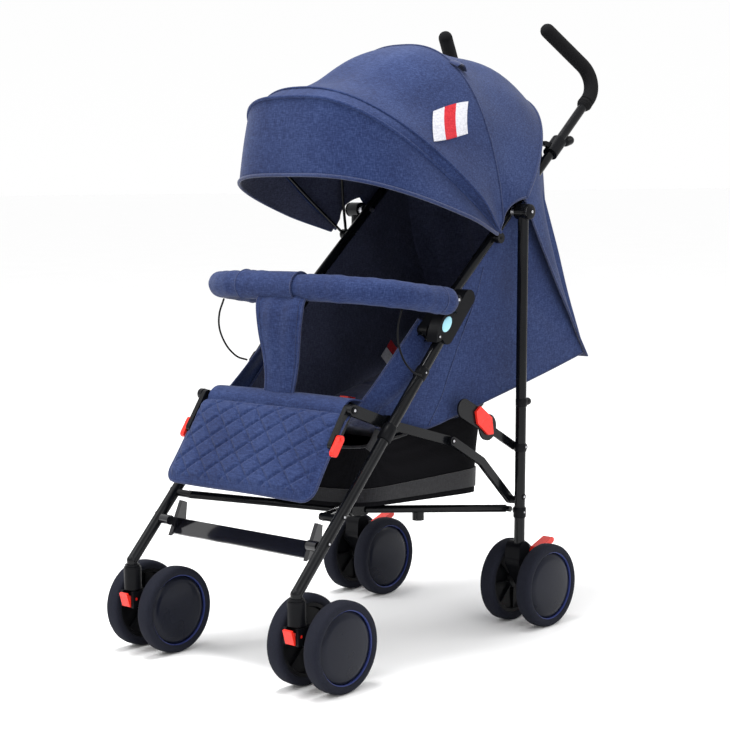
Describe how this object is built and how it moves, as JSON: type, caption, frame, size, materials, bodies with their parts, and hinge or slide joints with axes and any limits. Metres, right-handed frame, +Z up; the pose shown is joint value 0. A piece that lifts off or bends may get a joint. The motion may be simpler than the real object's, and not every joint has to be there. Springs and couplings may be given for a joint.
{
  "type": "baby stroller",
  "caption": "Folding baby stroller with swivelling front wheels, braked rear wheels, reclining sling seat, leg rest, bumper bar, hood and basket.",
  "frame": {"origin": "on the floor under the middle of the stroller", "axes": "+Z up; the child faces -Y; the child's left is +X"},
  "size_m": [0.4664, 0.8251, 1.0192],
  "materials": {
    "frame": "satin",
    "foam": "matte",
    "plastic": "satin",
    "gloss": "gloss",
    "red": "gloss",
    "steel": "satin",
    "wheel": "satin",
    "navy": "woven",
    "lining": "woven",
    "basket": "mesh",
    "webbing": "woven"
  },
  "bodies": {
    "frame": {"front_leg_left": "frame", "front_leg_right": "frame", "handle_tube_left": "frame", "handle_tube_right": "frame", "grip_left": "foam", "grip_right": "foam", "leg_joint_left": "plastic", "leg_joint_right": "plastic", "caster_socket_left": "plastic", "caster_socket_right": "plastic", "seat_rails": "frame", "pivot_bolts": "steel", "canopy_rear_bow": "frame", "canopy_clamps": "plastic", "canopy_cover": "navy", "bumper_bar": "navy", "crotch_strap": "navy", "bar_wires": "frame", "seat_pad": "lining", "side_panels": "navy", "rear_panel": "navy", "basket": "basket", "footrest": "gloss", "harness": "webbing"},
    "rear_legs": {"rear_leg_left": "frame", "rear_leg_right": "frame", "rear_brackets": "plastic", "rear_axles": "steel"},
    "front_arms": {"cross_arms_front": "frame"},
    "rear_arms": {"cross_arms_rear": "frame"},
    "rail_links": {"rail_links": "frame"},
    "drop_links": {"drop_links": "frame"},
    "lock_braces": {"lock_braces": "frame"},
    "legrest": {"legrest_arms": "frame", "legrest_pad": "navy"},
    "backrest": {"backrest": "lining", "shoulder_straps": "webbing"},
    "front_bow": {"canopy_front_bow": "frame"},
    "mid_bow": {"canopy_mid_bow": "frame"},
    "buckle_button": {"buckle_button": "red"},
    "front_fork_left": {"front_fork_left": "plastic", "front_axle_left": "steel"},
    "caster_lock_left": {"caster_lock_left": "red"},
    "brake_left": {"brake_pedal_left": "red"},
    "fold_lever_left": {"fold_lever_left": "red"},
    "legrest_lever_left": {"legrest_lever_left": "red"},
    "front_wheel_left_outer": {"front_wheel_left_outer": "wheel"},
    "rear_wheel_left_outer": {"rear_wheel_left_outer": "wheel"},
    "front_wheel_left_inner": {"front_wheel_left_inner": "wheel"},
    "rear_wheel_left_inner": {"rear_wheel_left_inner": "wheel"},
    "front_fork_right": {"front_fork_right": "plastic", "front_axle_right": "steel"},
    "caster_lock_right": {"caster_lock_right": "red"},
    "brake_right": {"brake_pedal_right": "red"},
    "fold_lever_right": {"fold_lever_right": "red"},
    "legrest_lever_right": {"legrest_lever_right": "red"},
    "front_wheel_right_outer": {"front_wheel_right_outer": "wheel"},
    "rear_wheel_right_outer": {"rear_wheel_right_outer": "wheel"},
    "front_wheel_right_inner": {"front_wheel_right_inner": "wheel"},
    "rear_wheel_right_inner": {"rear_wheel_right_inner": "wheel"}
  },
  "joints": [
    {"name": "fold", "type": "hinge", "parent": "frame", "child": "rear_legs", "pos_m": [0, 0.15851, 0.699], "axis": [-1, 0, 0], "range_deg": [0, 33], "deforming": ["basket"]},
    {"name": "rail_fold", "type": "hinge", "parent": "frame", "child": "rail_links", "pos_m": [0, -0.17249, 0.382], "axis": [1, 0, 0], "range_deg": [0, 47.3]},
    {"name": "drop_fold", "type": "hinge", "parent": "rail_links", "child": "drop_links", "pos_m": [0, -0.00649, 0.333], "axis": [1, 0, 0], "range_deg": [-127.6, 0]},
    {"name": "front_arm_fold", "type": "hinge", "parent": "frame", "child": "front_arms", "pos_m": [0, -0.29549, 0.251], "axis": [1, 0, 0], "range_deg": [-53, 0]},
    {"name": "rear_arm_fold", "type": "hinge", "parent": "front_arms", "child": "rear_arms", "pos_m": [0, -0.08049, 0.212], "axis": [1, 0, 0], "range_deg": [0, 127.3]},
    {"name": "brace_fold", "type": "hinge", "parent": "rear_legs", "child": "lock_braces", "pos_m": [0, 0.15151, 0.306], "axis": [1, 0, 0], "range_deg": [-61, 0]},
    {"name": "canopy_fold", "type": "hinge", "parent": "frame", "child": "front_bow", "pos_m": [0, 0.11151, 0.657], "axis": [1, 0, 0], "range_deg": [-65, 0], "deforming": ["canopy_cover"]},
    {"name": "canopy_mid_fold", "type": "hinge", "parent": "frame", "child": "mid_bow", "pos_m": [0, 0.11151, 0.657], "axis": [1, 0, 0], "range_deg": [-32.5, 0]},
    {"name": "recline", "type": "hinge", "parent": "frame", "child": "backrest", "pos_m": [0, -0.04649, 0.35], "axis": [1, 0, 0], "range_deg": [0, 50]},
    {"name": "legrest_tilt", "type": "hinge", "parent": "frame", "child": "legrest", "pos_m": [0, -0.24549, 0.409], "axis": [-1, 0, 0], "range_deg": [-15, 50]},
    {"name": "buckle_press", "type": "slide", "parent": "frame", "child": "buckle_button", "axis": [0, -0.2079, -0.9781], "range_m": [0, 0.0018], "stiffness_N_per_m": 300},
    {"name": "swivel_left", "type": "hinge", "parent": "frame", "child": "front_fork_left", "pos_m": [0.182, -0.39099, 0.11], "axis": [0, 0, 1], "continuous": true},
    {"name": "caster_lock_left", "type": "hinge", "parent": "front_fork_left", "child": "caster_lock_left", "pos_m": [0.182, -0.39699, 0.094], "axis": [1, 0, 0], "range_deg": [0, 12]},
    {"name": "brake_left", "type": "hinge", "parent": "rear_legs", "child": "brake_left", "pos_m": [0.182, 0.19801, 0.118], "axis": [-1, 0, 0], "range_deg": [0, 18]},
    {"name": "fold_lever_left", "type": "hinge", "parent": "lock_braces", "child": "fold_lever_left", "pos_m": [0, 0.07951, 0.346], "axis": [-1, 0, 0], "range_deg": [0, 20]},
    {"name": "legrest_lever_left", "type": "hinge", "parent": "legrest", "child": "legrest_lever_left", "pos_m": [0, -0.27427, 0.36812], "axis": [1, 0, 0], "range_deg": [0, 15]},
    {"name": "front_wheel_left_outer_spin", "type": "hinge", "parent": "front_fork_left", "child": "front_wheel_left_outer", "pos_m": [0.2197, -0.33699, 0.07], "axis": [1, 0, 0], "continuous": true},
    {"name": "rear_wheel_left_outer_spin", "type": "hinge", "parent": "rear_legs", "child": "rear_wheel_left_outer", "pos_m": [0.2197, 0.17601, 0.07], "axis": [1, 0, 0], "continuous": true},
    {"name": "front_wheel_left_inner_spin", "type": "hinge", "parent": "front_fork_left", "child": "front_wheel_left_inner", "pos_m": [0.1443, -0.33699, 0.07], "axis": [1, 0, 0], "continuous": true},
    {"name": "rear_wheel_left_inner_spin", "type": "hinge", "parent": "rear_legs", "child": "rear_wheel_left_inner", "pos_m": [0.1443, 0.17601, 0.07], "axis": [1, 0, 0], "continuous": true},
    {"name": "swivel_right", "type": "hinge", "parent": "frame", "child": "front_fork_right", "pos_m": [-0.182, -0.39099, 0.11], "axis": [0, 0, 1], "continuous": true},
    {"name": "caster_lock_right", "type": "hinge", "parent": "front_fork_right", "child": "caster_lock_right", "pos_m": [-0.182, -0.39699, 0.094], "axis": [1, 0, 0], "range_deg": [0, 12]},
    {"name": "brake_right", "type": "hinge", "parent": "rear_legs", "child": "brake_right", "pos_m": [-0.182, 0.19801, 0.118], "axis": [-1, 0, 0], "range_deg": [0, 18]},
    {"name": "fold_lever_right", "type": "hinge", "parent": "lock_braces", "child": "fold_lever_right", "pos_m": [0, 0.07951, 0.346], "axis": [-1, 0, 0], "range_deg": [0, 20]},
    {"name": "legrest_lever_right", "type": "hinge", "parent": "legrest", "child": "legrest_lever_right", "pos_m": [0, -0.27427, 0.36812], "axis": [1, 0, 0], "range_deg": [0, 15]},
    {"name": "front_wheel_right_outer_spin", "type": "hinge", "parent": "front_fork_right", "child": "front_wheel_right_outer", "pos_m": [-0.2197, -0.33699, 0.07], "axis": [1, 0, 0], "continuous": true},
    {"name": "rear_wheel_right_outer_spin", "type": "hinge", "parent": "rear_legs", "child": "rear_wheel_right_outer", "pos_m": [-0.2197, 0.17601, 0.07], "axis": [1, 0, 0], "continuous": true},
    {"name": "front_wheel_right_inner_spin", "type": "hinge", "parent": "front_fork_right", "child": "front_wheel_right_inner", "pos_m": [-0.1443, -0.33699, 0.07], "axis": [1, 0, 0], "continuous": true},
    {"name": "rear_wheel_right_inner_spin", "type": "hinge", "parent": "rear_legs", "child": "rear_wheel_right_inner", "pos_m": [-0.1443, 0.17601, 0.07], "axis": [1, 0, 0], "continuous": true}
  ],
  "couplings": [
    {"joint": "rail_fold", "follows": "fold", "ratio": 1.4333},
    {"joint": "drop_fold", "follows": "fold", "ratio": -3.8667},
    {"joint": "front_arm_fold", "follows": "fold", "ratio": -1.6061},
    {"joint": "rear_arm_fold", "follows": "fold", "ratio": 3.8576},
    {"joint": "brace_fold", "follows": "fold", "ratio": -1.8485},
    {"joint": "canopy_mid_fold", "follows": "canopy_fold", "ratio": 0.5}
  ]
}
